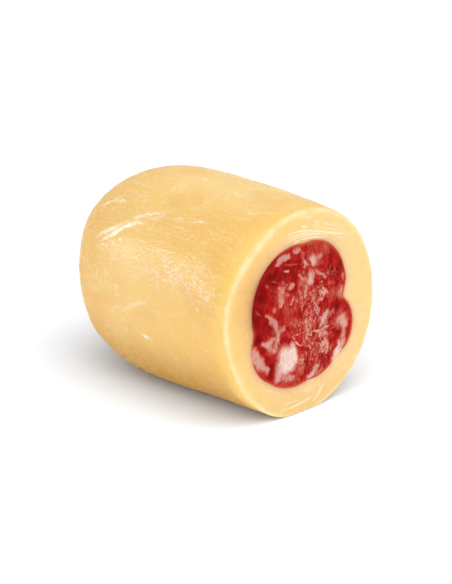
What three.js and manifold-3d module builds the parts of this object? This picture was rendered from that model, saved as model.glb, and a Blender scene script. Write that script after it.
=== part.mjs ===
// Half of a stuffed caciocavallo: a cheese log with one rounded end, cut across to show the salami inside it.
// Millimetres, +Z up. The log lies along X on a flattened strip, with its cut face towards +X and its dome
// towards -X. Lengths along the log are counted from the cut, and turns round it from +Y towards +Z.
import * as THREE from "three";
import { mergeVertices } from "three/addons/utils/BufferGeometryUtils.js";
import Module from "manifold-3d";

// Cheese: length, girth and the rounding of its far end
const LOG_LENGTH = 132;
const CUT_RADIUS = 50;
const BELLY_RADIUS = 51.75;
const BELLY_FROM_CUT = 51;
const DOME_LENGTH_POWER = 3.4;
const DOME_GIRTH_POWER = 2.9;
const TIP_RISE = 3;

// Cut face: its lean away from upright, its soft rim and how far its underside is lifted
const CUT_LEAN_DEG = 2;
const RIM_ROUND = 2;
const CUT_LIFT = 0.6;

// Underside: depth of the round that has settled flat, and half the height of its soft edge
const FLAT_DEPTH = 1.5;
const FLAT_BLEND = 0.4;

// Hand-formed section: shallow waves round the log, as shares of its radius, at the cut and towards the dome
const CUT_WAVES = [
  { count: 2, size: 0.013, peakDeg: -50 },
  { count: 3, size: 0.019, peakDeg: 30 },
  { count: 4, size: 0.01, peakDeg: -30 },
];
const DOME_WAVES = [
  { count: 2, size: 0.024, peakDeg: 53 },
  { count: 3, size: 0.02, peakDeg: -12 },
  { count: 4, size: 0.023, peakDeg: -35 },
];
const WAVE_CHANGE_SHARE = 0.75;

// Shoulder pressed in at the upper left of the cut: share of the radius, turn, spread round and length along the log
const CUT_DENT = { size: 0.094, turnDeg: 134, spreadDeg: 27, length: 16 };

// Salami: its place in the cut face, its length, and the bulges of its pressed outline
const SALAMI_HEIGHT = 49;
const SALAMI_LENGTH = 114;
const SALAMI_STRAIGHT = 70;
const SALAMI_LENGTH_POWER = 2.4;
const SALAMI_GIRTH_POWER = 2.2;
const SALAMI_BULGES = [
  { turnDeg: 29, reach: 32, radius: 10 },
  { turnDeg: 62, reach: 35, radius: 23 },
  { turnDeg: 131, reach: 35.2, radius: 29 },
  { turnDeg: 218, reach: 37.6, radius: 19 },
  { turnDeg: 235, reach: 36.7, radius: 27 },
  { turnDeg: 298, reach: 35.3, radius: 25 },
  { turnDeg: 327, reach: 37.4, radius: 16 },
];
const BULGE_SOFTNESS = 0.25;

// Clearance between salami and cheese, and how far the cavity's cutter passes the cut face
const FILLING_GAP = 0.3;
const CUTTER_OVERRUN = 6;

// Steps round and along the surfaces
const LOG_SIDES = 80;
const RIM_STEPS = 4;
const SIDE_STEPS = 6;
const DOME_STEPS = 18;
const SALAMI_SIDES = 96;
const SALAMI_STRAIGHT_STEPS = 3;
const SALAMI_END_STEPS = 8;

const FACE_MIDDLE = CUT_RADIUS - FLAT_DEPTH;
const QUARTER_TURN = Math.PI / 2;
const radians = THREE.MathUtils.degToRad;

const wasm = await Module();
wasm.setup();

// Radius of the near half, which swells gently from the cut to the belly
function sideRadius(along) {
  const left = 1 - along / BELLY_FROM_CUT;
  return BELLY_RADIUS - (BELLY_RADIUS - CUT_RADIUS) * left ** 2;
}

// Height of the log's middle line: a straight underside up to the belly, then a rise towards the tip
function middleHeight(along) {
  if (along <= BELLY_FROM_CUT) {
    return sideRadius(along) + CUT_LIFT * (1 - along / BELLY_FROM_CUT);
  }
  const share = (along - BELLY_FROM_CUT) / (LOG_LENGTH - BELLY_FROM_CUT);
  return BELLY_RADIUS + TIP_RISE * share ** 2;
}

function sumOfWaves(waves, turn) {
  return waves.reduce((sum, wave) => sum + wave.size * Math.cos(wave.count * (turn - radians(wave.peakDeg))), 0);
}

// Share of the radius by which the shoulder is pressed in there
function dentShare(along, turn) {
  const away = turn - radians(CUT_DENT.turnDeg);
  const off = Math.atan2(Math.sin(away), Math.cos(away)) / radians(CUT_DENT.spreadDeg);
  return CUT_DENT.size * Math.exp(-(off ** 2)) * Math.max(0, 1 - along / CUT_DENT.length) ** 2;
}

// Share by which the section departs from a circle there
function sectionShare(along, turn) {
  const towardsDome = THREE.MathUtils.smoothstep(along, 0, WAVE_CHANGE_SHARE * LOG_LENGTH);
  const wave = THREE.MathUtils.lerp(sumOfWaves(CUT_WAVES, turn), sumOfWaves(DOME_WAVES, turn), towardsDome);
  return 1 + wave - dentShare(along, turn);
}

// Round underside settled on a flat strip at height 0
function settledHeight(height) {
  if (height >= FLAT_BLEND) return height;
  if (height <= -FLAT_BLEND) return 0;
  return (height + FLAT_BLEND) ** 2 / (4 * FLAT_BLEND);
}

// X of a point, with the lean of the cut fading out towards the tip
function leaningX(along, height) {
  const lean = Math.tan(radians(CUT_LEAN_DEG)) * (1 - along / LOG_LENGTH);
  return -along - lean * (height - FACE_MIDDLE);
}

function placeOnCheese(along, turn, reach) {
  const radius = reach * sectionShare(along, turn);
  const height = settledHeight(middleHeight(along) - FLAT_DEPTH + radius * Math.sin(turn));
  return new THREE.Vector3(leaningX(along, height), radius * Math.cos(turn), height);
}

// Distance from the salami's middle to its outline: the furthest of its bulges, softly joined
function salamiRadius(turn) {
  let sum = 0;
  for (const bulge of SALAMI_BULGES) {
    const off = turn - radians(bulge.turnDeg);
    const centre = bulge.reach - bulge.radius;
    const aside = centre * Math.sin(off);
    if (Math.abs(aside) < bulge.radius) {
      const distance = centre * Math.cos(off) + Math.sqrt(bulge.radius ** 2 - aside ** 2);
      sum += Math.exp(distance / BULGE_SOFTNESS);
    }
  }
  return BULGE_SOFTNESS * Math.log(sum);
}

function placeOnSalami(gap) {
  return (along, turn, share) => {
    const radius = share * (salamiRadius(turn) + gap);
    const height = SALAMI_HEIGHT + radius * Math.sin(turn);
    return new THREE.Vector3(leaningX(along, height), radius * Math.cos(turn), height);
  };
}

// Profile points hold a reach from the middle line (x) and a length along it from the cut (y)
function cheeseProfile() {
  const points = [new THREE.Vector2(0, 0)];
  for (let i = 0; i <= RIM_STEPS; i++) {
    const angle = (QUARTER_TURN * i) / RIM_STEPS;
    const along = RIM_ROUND * (1 - Math.cos(angle));
    points.push(new THREE.Vector2(sideRadius(along) - RIM_ROUND * (1 - Math.sin(angle)), along));
  }
  for (let i = 1; i <= SIDE_STEPS; i++) {
    const along = THREE.MathUtils.lerp(RIM_ROUND, BELLY_FROM_CUT, i / SIDE_STEPS);
    points.push(new THREE.Vector2(sideRadius(along), along));
  }
  const domeLength = LOG_LENGTH - BELLY_FROM_CUT;
  points.push(...roundedEnd(BELLY_RADIUS, BELLY_FROM_CUT, domeLength, DOME_LENGTH_POWER, DOME_GIRTH_POWER, DOME_STEPS));
  return points;
}

// Profile of the salami or its cavity, with reaches as shares of the outline
function salamiProfile(start, end) {
  const points = [new THREE.Vector2(0, start)];
  for (let i = 0; i <= SALAMI_STRAIGHT_STEPS; i++) {
    points.push(new THREE.Vector2(1, THREE.MathUtils.lerp(start, SALAMI_STRAIGHT, i / SALAMI_STRAIGHT_STEPS)));
  }
  const endLength = end - SALAMI_STRAIGHT;
  points.push(
    ...roundedEnd(1, SALAMI_STRAIGHT, endLength, SALAMI_LENGTH_POWER, SALAMI_GIRTH_POWER, SALAMI_END_STEPS),
  );
  return points;
}

// Quarter of a superellipse that closes a profile on the axis
function roundedEnd(reach, start, length, lengthPower, girthPower, steps) {
  const points = [];
  for (let i = 1; i < steps; i++) {
    const angle = (QUARTER_TURN * i) / steps;
    const along = start + length * Math.sin(angle) ** (2 / lengthPower);
    points.push(new THREE.Vector2(reach * Math.cos(angle) ** (2 / girthPower), along));
  }
  points.push(new THREE.Vector2(0, start + length));
  return points;
}

// Lathe with its seam and poles closed, so that each corner is one vertex and no triangle is flat
function closedLathe(profile, sides) {
  const lathe = new THREE.LatheGeometry(profile, sides);
  lathe.deleteAttribute("normal");
  lathe.deleteAttribute("uv");
  const geometry = mergeVertices(lathe);
  const corners = geometry.getIndex().array;
  const kept = [];
  for (let i = 0; i < corners.length; i += 3) {
    const [a, b, c] = corners.subarray(i, i + 3);
    if (a !== b && b !== c && c !== a) kept.push(a, b, c);
  }
  geometry.setIndex(kept);
  return geometry;
}

// Turned form laid along X, each vertex moved to where place puts its length, turn and reach
function formedLathe(profile, sides, place) {
  const geometry = closedLathe(profile, sides);
  const position = geometry.getAttribute("position");
  for (let i = 0; i < position.count; i++) {
    const across = position.getX(i);
    const up = position.getZ(i);
    const point = place(position.getY(i), Math.atan2(up, across), Math.hypot(across, up));
    position.setXYZ(i, point.x, point.y, point.z);
  }
  geometry.computeVertexNormals();
  return geometry;
}

function toSolid(geometry) {
  const vertProperties = new Float32Array(geometry.getAttribute("position").array);
  const triVerts = new Uint32Array(geometry.getIndex().array);
  return new wasm.Manifold(new wasm.Mesh({ numProp: 3, vertProperties, triVerts }));
}

function toGeometry(solid) {
  const mesh = solid.getMesh();
  const geometry = new THREE.BufferGeometry();
  geometry.setAttribute("position", new THREE.BufferAttribute(mesh.vertProperties, mesh.numProp));
  geometry.setIndex(new THREE.BufferAttribute(mesh.triVerts, 1));
  geometry.computeVertexNormals();
  return geometry;
}

// Cheese log with the cavity that the salami fills
function cheeseMesh() {
  const log = formedLathe(cheeseProfile(), LOG_SIDES, placeOnCheese);
  const cavityProfile = salamiProfile(-CUTTER_OVERRUN, SALAMI_LENGTH + FILLING_GAP);
  const cavity = formedLathe(cavityProfile, SALAMI_SIDES, placeOnSalami(FILLING_GAP));
  const material = new THREE.MeshStandardMaterial({ color: 0xf5cf85, roughness: 0.4, metalness: 0 });
  const mesh = new THREE.Mesh(toGeometry(toSolid(log).subtract(toSolid(cavity))), material);
  mesh.name = "cheese";
  return mesh;
}

// Salami flush with the cut, its rounded end closed in by cheese
function salamiMesh() {
  const geometry = formedLathe(salamiProfile(0, SALAMI_LENGTH), SALAMI_SIDES, placeOnSalami(0));
  const material = new THREE.MeshStandardMaterial({ color: 0xa8302c, roughness: 0.35, metalness: 0 });
  const mesh = new THREE.Mesh(geometry, material);
  mesh.name = "salami";
  return mesh;
}

// The log stands over the origin, at the middle of its box
const log = new THREE.Group();
log.add(cheeseMesh(), salamiMesh());
const middle = new THREE.Box3().setFromObject(log).getCenter(new THREE.Vector3());
log.position.set(-middle.x, -middle.y, 0);

const caciocavallo = new THREE.Group();
caciocavallo.add(log);

export default caciocavallo;
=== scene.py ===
# Half of a stuffed caciocavallo: a waxy cheese log, cut across to show the marbled salami inside it.
# Shapes are worked out in millimetres from the middle of the cut, then placed in the frame in metres.
# Along is the length from the cut towards the dome, and turn goes round the log from +Y towards +Z.
import math
import random

import bmesh
import bpy
import numpy as np
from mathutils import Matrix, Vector, noise


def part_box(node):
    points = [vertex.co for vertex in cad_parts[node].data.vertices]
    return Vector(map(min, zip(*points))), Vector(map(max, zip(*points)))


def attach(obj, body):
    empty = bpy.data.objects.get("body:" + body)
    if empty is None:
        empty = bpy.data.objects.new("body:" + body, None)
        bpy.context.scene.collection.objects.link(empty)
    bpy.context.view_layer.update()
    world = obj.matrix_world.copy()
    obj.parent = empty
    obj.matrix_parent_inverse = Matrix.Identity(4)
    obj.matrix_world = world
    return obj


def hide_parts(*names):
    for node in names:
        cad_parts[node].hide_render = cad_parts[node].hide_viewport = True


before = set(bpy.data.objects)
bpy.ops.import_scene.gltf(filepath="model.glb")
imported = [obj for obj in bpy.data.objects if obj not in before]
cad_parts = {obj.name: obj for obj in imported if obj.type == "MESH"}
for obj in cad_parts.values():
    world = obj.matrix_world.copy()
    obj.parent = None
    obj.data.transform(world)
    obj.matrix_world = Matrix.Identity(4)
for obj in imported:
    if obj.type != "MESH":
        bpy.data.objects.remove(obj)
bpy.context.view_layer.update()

MM = 0.001

# Cheese log, as in the solids
LOG_LENGTH = 132.0
CUT_RADIUS = 50.0
BELLY_RADIUS = 51.75
BELLY_FROM_CUT = 51.0
DOME_LENGTH_POWER = 3.4
DOME_GIRTH_POWER = 2.9
TIP_RISE = 3.0
CUT_LEAN_DEG = 2.0
CUT_LIFT = 0.6
RIM_ROUND = 2.0
FLAT_DEPTH = 1.5
FLAT_BLEND = 0.4
FACE_MIDDLE = CUT_RADIUS - FLAT_DEPTH
# Rounded ends as start, length, and the powers of the length and of the girth of their superellipse
DOME_END = (BELLY_FROM_CUT, LOG_LENGTH - BELLY_FROM_CUT, DOME_LENGTH_POWER, DOME_GIRTH_POWER)

# Waves of the hand-formed section: how many round the log, share of the radius, turn of a crest
CUT_WAVES = ((2, 0.013, -50), (3, 0.019, 30), (4, 0.010, -30))
DOME_WAVES = ((2, 0.024, 53), (3, 0.020, -12), (4, 0.023, -35))
WAVE_CHANGE_SHARE = 0.75

# Shoulder pressed in at the upper left of the cut: share of the radius, turn, spread and length
DENT_SIZE = 0.094
DENT_TURN = 134.0
DENT_SPREAD = 27.0
DENT_LENGTH = 16.0

# Salami: place, length, and the bulges of its outline as turn, reach and radius
SALAMI_HEIGHT = 49.0
SALAMI_LENGTH = 114.0
SALAMI_STRAIGHT = 70.0
SALAMI_LENGTH_POWER = 2.4
SALAMI_GIRTH_POWER = 2.2
SALAMI_END = (SALAMI_STRAIGHT, SALAMI_LENGTH - SALAMI_STRAIGHT, SALAMI_LENGTH_POWER, SALAMI_GIRTH_POWER)
SALAMI_BULGES = (
    (29, 32, 10), (62, 35, 23), (131, 35.2, 29),
    (218, 37.6, 19), (235, 36.7, 27), (298, 35.3, 25), (327, 37.4, 16),
)
BULGE_SOFTNESS = 0.25

# Rings of each stretch of the cheese, from the cavity's end over the cut and the rim to the tip, and sides
CHEESE_RINGS = (8, 4, 28, 8, 58, 118)
CHEESE_SIDES = 308
CAVITY_END, CAVITY, FACE, RIM, SIDE, DOME = range(6)
SKIN_STARTS = (RIM + 0.3, RIM + 1)
SKIN_ENDS = (DOME + 0.97, DOME + 0.99)
FACE_STARTS = (FACE - 0.02, FACE)
FACE_ENDS = (RIM, RIM + 0.8)

# Rings of each stretch of the salami, from the middle of its face to its far end, and its sides
SALAMI_RINGS = (120, 4, 5, 8)
SALAMI_SIDES = 600
MEAT_FACE, MEAT_EDGE, MEAT_SIDE, MEAT_END = range(4)
MEAT_FACE_ENDS = (MEAT_EDGE + 0.5, MEAT_EDGE + 1)
MEAT_EDGE_ROUND = 0.03

# Closing of seams and poles, angle from which an edge is sharp, and the grid that measures the log's width
SEAM_GAP = 0.02
SHARP_FROM_DEG = 60.0
MEASURED_RINGS = 265
MEASURED_SIDES = 361
# Ends of a mark's length between which it thins out, and a size that only keeps a division from failing
TAPER_ENDS = (0.03, 0.97)
TINY = 1e-6


# Log shape

def waves(rows, turn):
    return sum(size * np.cos(count * (turn - math.radians(peak))) for count, size, peak in rows)


def smoothstep(low, high, value):
    share = np.clip((value - low) / (high - low), 0, 1)
    return share * share * (3 - 2 * share)


def bell(gap):
    return np.exp(-gap ** 2)


def dent_share(along, turn):
    round_the_log = bell((turn - math.radians(DENT_TURN)) / math.radians(DENT_SPREAD))
    return DENT_SIZE * round_the_log * np.clip(1 - along / DENT_LENGTH, 0, 1) ** 2


def section_share(along, turn):
    towards_dome = smoothstep(0, WAVE_CHANGE_SHARE * LOG_LENGTH, along)
    wave = (1 - towards_dome) * waves(CUT_WAVES, turn) + towards_dome * waves(DOME_WAVES, turn)
    return 1 + wave - dent_share(along, turn)


def dome_share(along):
    return np.clip((along - BELLY_FROM_CUT) / (LOG_LENGTH - BELLY_FROM_CUT), 0, 1)


def log_radius(along):
    side = BELLY_RADIUS - (BELLY_RADIUS - CUT_RADIUS) * (1 - along / BELLY_FROM_CUT) ** 2
    dome = BELLY_RADIUS * (1 - dome_share(along) ** DOME_LENGTH_POWER) ** (1 / DOME_GIRTH_POWER)
    return np.where(along <= BELLY_FROM_CUT, side, dome)


def middle_height(along):
    lifted = log_radius(along) + CUT_LIFT * (1 - along / BELLY_FROM_CUT)
    return np.where(along <= BELLY_FROM_CUT, lifted, BELLY_RADIUS + TIP_RISE * dome_share(along) ** 2)


def settled_height(height):
    edge = (height + FLAT_BLEND) ** 2 / (4 * FLAT_BLEND)
    return np.where(height >= FLAT_BLEND, height, np.where(height <= -FLAT_BLEND, 0, edge))


def leaning_x(along, height):
    lean = math.tan(math.radians(CUT_LEAN_DEG)) * (1 - along / LOG_LENGTH)
    return -along - lean * (height - FACE_MIDDLE)


def length_along(points):
    """Length from the cut of points on or in the log, which undoes the lean."""
    lean = math.tan(math.radians(CUT_LEAN_DEG)) * (points[:, 2] - FACE_MIDDLE)
    return (-points[:, 0] - lean) / (1 - lean / LOG_LENGTH)


def rim_distance(points, turn):
    """Distance from the rim of the cut: over the skin it counts up, and into the cut it counts down."""
    outline = CUT_RADIUS * section_share(np.zeros_like(turn), turn)
    middle = middle_height(0) - FLAT_DEPTH
    inside = outline - np.hypot(points[:, 1], points[:, 2] - middle)
    return np.clip(length_along(points), 0, None) - np.clip(inside, 0, None)


def rim_fade(from_rim, skin_width, face_width):
    return bell(from_rim / np.where(from_rim > 0, skin_width, face_width))


def cheese_point(along, turn, reach):
    radius = reach * section_share(along, turn)
    height = settled_height(middle_height(along) - FLAT_DEPTH + radius * np.sin(turn))
    return np.stack([leaning_x(along, height), radius * np.cos(turn), height], -1)


def salami_radius(turn):
    total = np.zeros_like(turn)
    for turn_deg, reach, radius in SALAMI_BULGES:
        off = turn - math.radians(turn_deg)
        aside = (reach - radius) * np.sin(off)
        hit = np.abs(aside) < radius
        distance = (reach - radius) * np.cos(off) + np.sqrt(np.where(hit, radius ** 2 - aside ** 2, 0))
        total += np.where(hit, np.exp(distance / BULGE_SOFTNESS), 0)
    return BULGE_SOFTNESS * np.log(total)


def salami_point(along, turn, radius):
    height = SALAMI_HEIGHT + radius * np.sin(turn)
    return np.stack([leaning_x(along, height), radius * np.cos(turn), height], -1)


def rounded_end(share, start, length, length_power, girth_power):
    """Length and reach along a quarter of a superellipse, from its wide end at share 0 to its pole at 1."""
    angle = np.clip(share, 0, 1) * math.pi / 2
    along = start + length * np.sin(angle) ** (2 / length_power)
    reach = np.clip(np.cos(angle), 0, 1) ** (2 / girth_power)
    return along, np.where(share >= 1, 0, reach)


def frame_offset():
    """Place of the log's own origin in the part's frame, in millimetres."""
    low, high = (np.array(corner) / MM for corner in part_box("cheese"))
    rings = np.linspace(0, LOG_LENGTH, MEASURED_RINGS)
    along, turn = np.meshgrid(rings, np.linspace(0, 2 * math.pi, MEASURED_SIDES))
    across = cheese_point(along, turn, log_radius(along))[..., 1]
    return np.array([low[0] + LOG_LENGTH, (low[1] + high[1] - across.min() - across.max()) / 2, 0])


# Mesh helpers

def station_sheet(rings, sides):
    """Flat sheet to roll up: rings of all stretches along x, and once round from the underside along y."""
    bm = bmesh.new()
    bmesh.ops.create_grid(bm, x_segments=sum(rings), y_segments=sides, size=0.5)
    return bm


def station_and_turn(bm, rings):
    """Station of each vertex, whose whole part numbers its stretch, and its turn in radians."""
    co = np.array([v.co for v in bm.verts])
    ends = np.concatenate([[0], np.cumsum(rings)])
    station = np.interp((co[:, 0] + 0.5) * sum(rings), ends, range(len(ends)))
    return station, (2 * co[:, 1] + 0.5) * math.pi


def stretch_and_share(station, last):
    stretch = np.clip(np.floor(station), 0, last).astype(int)
    return stretch, station - stretch


def placed_by_stretch(stretch, choices):
    points = np.zeros((len(stretch), 3))
    for key, placed in choices.items():
        points[stretch == key] = placed[stretch == key]
    return points


def move_verts(bm, points):
    for vert, point in zip(bm.verts, points):
        vert.co = point


def outward_normals(bm, points, middle):
    bm.normal_update()
    normals = np.array([v.normal for v in bm.verts])
    outward = ((points - middle) * normals).sum() > 0
    return normals if outward else -normals


def refine(bm, wanted):
    """Halves the edges that have both ends wanted."""
    for vert, keep in zip(bm.verts, wanted):
        vert.tag = bool(keep)
    edges = [e for e in bm.edges if e.verts[0].tag and e.verts[1].tag]
    bmesh.ops.subdivide_edges(bm, edges=edges, cuts=1, use_grid_fill=True)


def finished_piece(name, node, bm, attributes, material):
    """Object from a rolled sheet in millimetres, its seam and poles closed, in place of a solid."""
    for key, values in attributes.items():
        layer = bm.verts.layers.float.new(key)
        for vert, value in zip(bm.verts, values):
            vert[layer] = value
    bmesh.ops.remove_doubles(bm, verts=[v for v in bm.verts if v.is_boundary], dist=SEAM_GAP)
    bmesh.ops.recalc_face_normals(bm, faces=bm.faces[:])
    bmesh.ops.translate(bm, vec=frame_offset(), verts=bm.verts[:])
    bmesh.ops.scale(bm, vec=(MM, MM, MM), verts=bm.verts[:])
    mesh = bpy.data.meshes.new(name)
    bm.to_mesh(mesh)
    bm.free()
    mesh.shade_smooth()
    mesh.set_sharp_from_angle(angle=math.radians(SHARP_FROM_DEG))
    mesh.materials.append(material)
    piece = bpy.data.objects.new(name, mesh)
    bpy.context.scene.collection.objects.link(piece)
    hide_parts(node)
    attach(piece, "root")


def noise_at(points, scale, seed=0.0):
    """Smooth noise from -1 to 1 with features about scale millimetres across, one size or one an axis."""
    return np.array([noise.noise(p) for p in np.asarray(points) / np.asarray(scale, float) + seed])


def path_distance(points, path, reach):
    """Distance of each point from a path, up to reach, and the nearest place along it, from 0 to 1."""
    gap = np.full(len(points), float(reach))
    place = np.zeros(len(points))
    near = np.all((points > path.min(0) - reach) & (points < path.max(0) + reach), axis=1)
    close, best, where = points[near], gap[near], place[near]
    for i in range(len(path) - 1):
        run = path[i + 1] - path[i]
        share = np.clip(((close - path[i]) @ run) / max(run @ run, TINY), 0, 1)
        away = np.linalg.norm(close - path[i] - share[:, None] * run, axis=1)
        nearer = away < best
        best[nearer] = away[nearer]
        where[nearer] = (i + share[nearer]) / (len(path) - 1)
    gap[near], place[near] = best, where
    return gap, place


def noise_layers(points, rows):
    """Sum of noises, each with its height, size and seed."""
    return sum(height * noise_at(points, size, seed) for height, size, seed in rows)


def uneven(points, mean, swing, size, seed):
    """Strength that wanders round a mean."""
    return mean + swing * noise_at(points, size, seed)


def sway(points, size, seeds):
    """Smooth shift of each point, with a seed for each direction."""
    return np.column_stack([noise_at(points, size, seed) for seed in seeds])


def tapered(place):
    """Strength along a mark that thins out at both ends."""
    return np.sqrt(np.sin(np.pi * np.clip(place, *TAPER_ENDS)))


# Marks on the skin: a path of along and turn, ridge height, half width, and how dry and white it is
SHOULDER_FOLD = ((93.5, 153.5), (88, 149.5), (83.5, 145.5), (78.5, 141.5), (73.5, 138.5), (68, 136.5))
SHOULDER_FOLD_BACK = ((99.5, 153), (94, 149), (88, 145), (83.5, 142), (78.5, 138.5))
UPPER_FOLD = ((76.5, 137), (72.5, 134.5), (69.5, 132.5), (65, 130.5), (59.5, 128.5), (57, 127))
UPPER_FOLD_LOW = ((64.5, 134), (60.5, 131.5), (56.5, 129.5))
FOLD_KNOT = ((75.5, 136.5), (71.5, 134))
UPPER_DASH = ((50, 130), (44.5, 128.5))
SHORT_DASH = ((40.5, 129.5), (35, 127.5), (33, 126.5))
PUCKER = ((107.5, 135), (104.5, 132), (100.5, 129.5), (97.5, 128), (94, 129.5))
PUCKER_CURL = ((94, 129.5), (92.5, 127.5), (89, 128.5))
LOW_WISP = ((73, 188.5), (65.5, 183.5), (59.5, 180), (52.5, 176))
LOW_WISP_END = ((80.5, 192.5), (77, 187.5), (73.5, 185.5))
TOP_SCRATCH = ((53, 98), (44, 98), (36, 99), (29.5, 99.5), (23, 99))
TOP_RIDGE = ((88, 90.5), (83, 84.5))
DOME_SCRATCH = ((92, 169.5), (93.5, 173.5), (92.5, 177))
DOME_SCRATCH_BACK = ((105, 169), (98.5, 173))
LOW_SCRATCH = ((19, 192), (14.5, 193), (11.5, 193.5))
NEAR_SCRATCH = ((37, 136), (29.5, 136.5))
RIM_SCRATCH = ((15, 134.5), (3, 136))
HIGH_SCRATCH = ((19, 110.5), (13.5, 111))
SKIN_MARKS = (
    (SHOULDER_FOLD, 0.32, 0.8, 1.0),
    (SHOULDER_FOLD_BACK, 0.22, 0.6, 0.6),
    (UPPER_FOLD, 0.22, 0.5, 0.8),
    (UPPER_FOLD_LOW, 0.14, 0.4, 0.6),
    (FOLD_KNOT, 0.2, 0.7, 0.7),
    (UPPER_DASH, 0.16, 0.45, 0.9),
    (SHORT_DASH, 0.16, 0.45, 0.95),
    (PUCKER, 0.28, 0.6, 0.6),
    (PUCKER_CURL, 0.28, 0.6, 0.7),
    (LOW_WISP, 0.12, 0.6, 0.5),
    (LOW_WISP_END, 0.12, 0.6, 0.45),
    (TOP_SCRATCH, -0.12, 0.35, 0.55),
    (TOP_RIDGE, 0.1, 0.6, 0.3),
    (DOME_SCRATCH, -0.1, 0.4, 0.4),
    (DOME_SCRATCH_BACK, -0.1, 0.4, 0.35),
    (LOW_SCRATCH, -0.08, 0.3, 0.4),
    (NEAR_SCRATCH, -0.08, 0.35, 0.25),
    (RIM_SCRATCH, -0.08, 0.35, 0.25),
    (HIGH_SCRATCH, -0.08, 0.35, 0.3),
)
# Dry specks: along, turn and radius
SKIN_SPECKS = (
    (76, 175, 0.8), (75, 179.5, 0.9), (57.5, 198.5, 1.0), (17, 170.5, 0.9), (62.5, 93.5, 1.2),
    (58, 93.5, 0.7), (49, 171, 0.5), (71, 198.5, 0.6), (79, 149.5, 0.7), (83, 153, 0.6),
)
# Pale smears on the skin, the last a painted highlight along the glinting flank: a path of along and turn,
# half width, and how white it is
SKIN_SMEARS_AND_SHEEN = (
    (((93, 156.5), (88, 154.5), (83, 152.5)), 2.2, 0.7),
    (((99, 130.5), (94, 127.5), (90, 129.5)), 2.0, 0.55),
    (((107, 137), (102, 133)), 1.8, 0.5),
    (((80, 141), (73, 137.5)), 2.0, 0.5),
    (((98, 181), (93, 172.5), (88, 167)), 2.0, 0.5),
    (((96, 166), (92, 176)), 1.6, 0.4),
    (((65, 92.5), (58, 95), (51, 98)), 2.2, 0.45),
    (((47, 110.5), (40, 113)), 2.0, 0.3),
    (((28, 131), (20, 138)), 2.2, 0.3),
    (((89, 88), (81, 90)), 2.0, 0.35),
    (((78, 176), (75, 180.5)), 1.8, 0.5),
    (((63, 181.5), (52, 175.5)), 2.0, 0.35),
    (((16, 109.5), (12, 113)), 2.0, 0.3),
    # Painted highlight: pale flecks along the flank where the gloss strip glints
    (((62, 159), (40, 158), (14, 159.5), (2, 165)), 6.5, 0.6),
)
# Faint flecks of the whole skin: strength, size and seed of their patches, and where these begin
SMEAR_LEAST = 0.25
SMEAR_PATCH_SIZE = 15.0
SMEAR_PATCH_SEED = 77.0
SMEAR_PATCHES = (-0.1, 0.6)
SMEAR_REACH = 3
# Shape of a mark, with places in half widths: its reach, the groove beside its ridge, and its pale halo
MARK_REACH = 5
MARK_GROOVE = 0.5
MARK_GROOVE_AT = 2.2
MARK_HALO = 0.25
MARK_HALO_WIDTH = 2.5
# Width of the finer mesh beside a mark, how far and how finely marks waver, and the height of a speck
MARK_MARGIN = 2.0
MARK_WAVER = 0.45
MARK_WAVER_SIZE = 2.2
MARK_WAVER_SEEDS = (13.0, 29.0, 41.0)
SPECK_HEIGHT = 0.15
# Mean, swing, size and seed of the width of the marks, of their dryness and of the painted highlight at the
# rim
MARK_WIDTH_UNEVEN = (1, 0.5, 3.5, 53.0)
DRY_UNEVEN = (0.9, 0.8, 1.2, 9.3)
RIM_HIGHLIGHT_UNEVEN = (0.75, 0.6, 5, 91.0)
# Strands beside the whiter marks: how far they stray, and their shares of the mark
STRANDS_EACH = 2
STRAND_SEED = 19
STRAND_LEAST = 0.45
STRAND_POINTS = 4
STRAND_STRAY_ALONG = 1.2
STRAND_STRAY_TURN = 2.2
STRAND_RIDGE_SHARE = 0.5
STRAND_WIDTH_SHARE = 0.55
STRAND_WHITE_SHARE = (0.4, 0.8)
# Marks of the hidden side, and the range of each value
BACK_MARKS = 14
BACK_SEED = 7
BACK_PLACE = ((15, 105), (-65, 75))
BACK_RUN = (6, 20)
BACK_BEND = (-6, 6)
BACK_END_BEND = 1.4
BACK_RIDGE = (0.1, 0.28)
BACK_WIDTH = (0.4, 0.65)
BACK_WHITE = (0.3, 0.8)
# Lumps of the hand-formed skin: height, size and seed, and the lengths from the cut over which they grow
SKIN_LUMPS = ((0.24, 17, 0.0), (0.10, (11, 5, 5), 3.1))
LUMPS_GROW = (70, 110)
# Heights over which the relief of the skin begins above the floor
LEAVES_FLOOR = (0.5, 6)

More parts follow.
